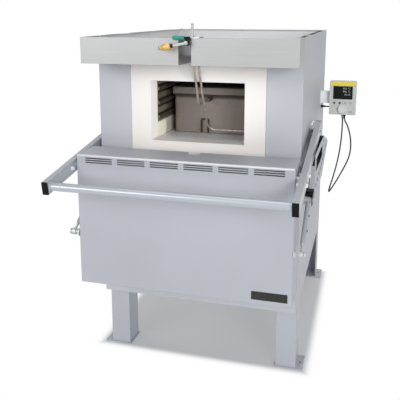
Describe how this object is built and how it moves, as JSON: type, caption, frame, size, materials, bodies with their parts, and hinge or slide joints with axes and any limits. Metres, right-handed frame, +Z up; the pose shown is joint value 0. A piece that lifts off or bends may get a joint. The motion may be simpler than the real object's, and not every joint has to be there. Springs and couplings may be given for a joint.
{
  "type": "heat treatment chamber furnace",
  "caption": "Chamber furnace on legs: swing-down door on arms with a handle bar, open ceramic mouth, protective gas box, split hood and side controller.",
  "frame": {"origin": "on the floor, at the centre of the four floor fixings", "axes": "+Z up, +Y from the chamber's mouth towards the rear, +X to the controller's side"},
  "size_m": [1.022, 1.5263, 1.383],
  "materials": {
    "body_paint": "satin",
    "stainless": "brushed",
    "zinc_steel": "satin",
    "box_steel": "matte",
    "black_metal": "satin",
    "collar_fibre": "matte",
    "lining_brick": "matte",
    "insulation": "matte",
    "hearth_ceramic": "matte",
    "heater_ceramic": "matte",
    "brass": "satin",
    "black_plastic": "satin",
    "lever_teal": "gloss",
    "controller_grey": "satin",
    "strip_yellow": "satin",
    "display_dark": "gloss",
    "cable_rubber": "satin"
  },
  "bodies": {
    "housing": {"front_frame": "body_paint", "side_panels": "body_paint", "rear_panel": "body_paint", "top_deck": "body_paint", "inner_shelves": "body_paint", "legs_front": "body_paint", "legs_rear": "body_paint", "collar": "collar_fibre", "chamber_lining": "lining_brick", "backing_insulation": "insulation", "hearth_plate": "hearth_ceramic", "carrier_tubes": "heater_ceramic", "heating_rods": "zinc_steel", "thermocouple": "heater_ceramic", "gas_box": "box_steel", "box_fittings": "box_steel", "gas_inlet_tube": "zinc_steel", "gas_outlet_tube": "zinc_steel", "hood_left": "stainless", "hood_right": "stainless", "housing_pivots": "zinc_steel", "mechanism_plates": "black_metal", "side_guards": "body_paint", "gas_manifold": "black_metal", "gas_pipes": "zinc_steel", "gas_nozzle": "brass", "valve_body": "black_metal", "hood_clip": "stainless", "controller_housing": "controller_grey", "controller_fascia": "controller_grey", "controller_strip": "strip_yellow", "display_window": "display_dark", "controller_bracket": "stainless", "cable": "cable_rubber", "cable_glands": "black_plastic", "exhaust_spigot": "stainless", "mains_gland": "black_plastic", "switchgear": "black_plastic"},
    "arms": {"arm_right": "body_paint", "arm_left": "body_paint", "arm_bushes": "brass", "arm_end_caps": "black_plastic", "handle_tube": "body_paint"},
    "door": {"door_shell": "body_paint", "door_plug": "insulation", "door_inner_frame": "body_paint", "door_pivots": "zinc_steel"},
    "link_right": {"link_tube_right": "body_paint", "link_rod_right": "zinc_steel"},
    "link_left": {"link_tube_left": "body_paint", "link_rod_left": "zinc_steel"},
    "box_lid": {"gas_box_lid": "box_steel"},
    "valve_lever": {"valve_lever_hub": "black_plastic", "valve_lever_grip": "lever_teal"},
    "knob": {"control_knob": "controller_grey"},
    "key_1_body": {"key_1": "black_plastic"},
    "key_2_body": {"key_2": "black_plastic"},
    "key_3_body": {"key_3": "black_plastic"},
    "key_4_body": {"key_4": "black_plastic"}
  },
  "joints": [
    {"name": "arm_swing", "type": "hinge", "parent": "housing", "child": "arms", "pos_m": [0.43, -0.219, 0.942], "axis": [-1, 0, 0], "range_deg": [0, 37.6]},
    {"name": "door_pivot", "type": "hinge", "parent": "arms", "child": "door", "pos_m": [0.43, -0.73097, 0.85999], "axis": [-1, 0, 0], "range_deg": [-37.6, 0]},
    {"name": "link_right_swing", "type": "hinge", "parent": "housing", "child": "link_right", "pos_m": [0.432, -0.53946, 0.73187], "axis": [-1, 0, 0], "range_deg": [0, 84.9]},
    {"name": "link_left_swing", "type": "hinge", "parent": "housing", "child": "link_left", "pos_m": [-0.432, -0.53946, 0.73187], "axis": [-1, 0, 0], "range_deg": [0, 84.9]},
    {"name": "box_lid_lift", "type": "slide", "parent": "housing", "child": "box_lid", "axis": [0, 0, 1], "range_m": [0, 0.04]},
    {"name": "valve_lever_turn", "type": "hinge", "parent": "housing", "child": "valve_lever", "pos_m": [0.012, -0.713, 1.3286], "axis": [0, 0, 1], "range_deg": [0, 90]},
    {"name": "knob_turn", "type": "hinge", "parent": "housing", "child": "knob", "pos_m": [0.5075, 0.25, 0.961], "axis": [0, 1, 0], "continuous": true},
    {"name": "key_1_press", "type": "slide", "parent": "housing", "child": "key_1_body", "axis": [0, 1, 0], "range_m": [0, 0.0012], "stiffness_N_per_m": 400, "springref_m": -0.0005},
    {"name": "key_2_press", "type": "slide", "parent": "housing", "child": "key_2_body", "axis": [0, 1, 0], "range_m": [0, 0.0012], "stiffness_N_per_m": 400, "springref_m": -0.0005},
    {"name": "key_3_press", "type": "slide", "parent": "housing", "child": "key_3_body", "axis": [0, 1, 0], "range_m": [0, 0.0012], "stiffness_N_per_m": 400, "springref_m": -0.0005},
    {"name": "key_4_press", "type": "slide", "parent": "housing", "child": "key_4_body", "axis": [0, 1, 0], "range_m": [0, 0.0012], "stiffness_N_per_m": 400, "springref_m": -0.0005}
  ],
  "couplings": [
    {"joint": "door_pivot", "follows": "arm_swing", "ratio": -1},
    {"joint": "link_right_swing", "follows": "arm_swing", "ratio": 2.2553},
    {"joint": "link_left_swing", "follows": "arm_swing", "ratio": 2.2553}
  ]
}
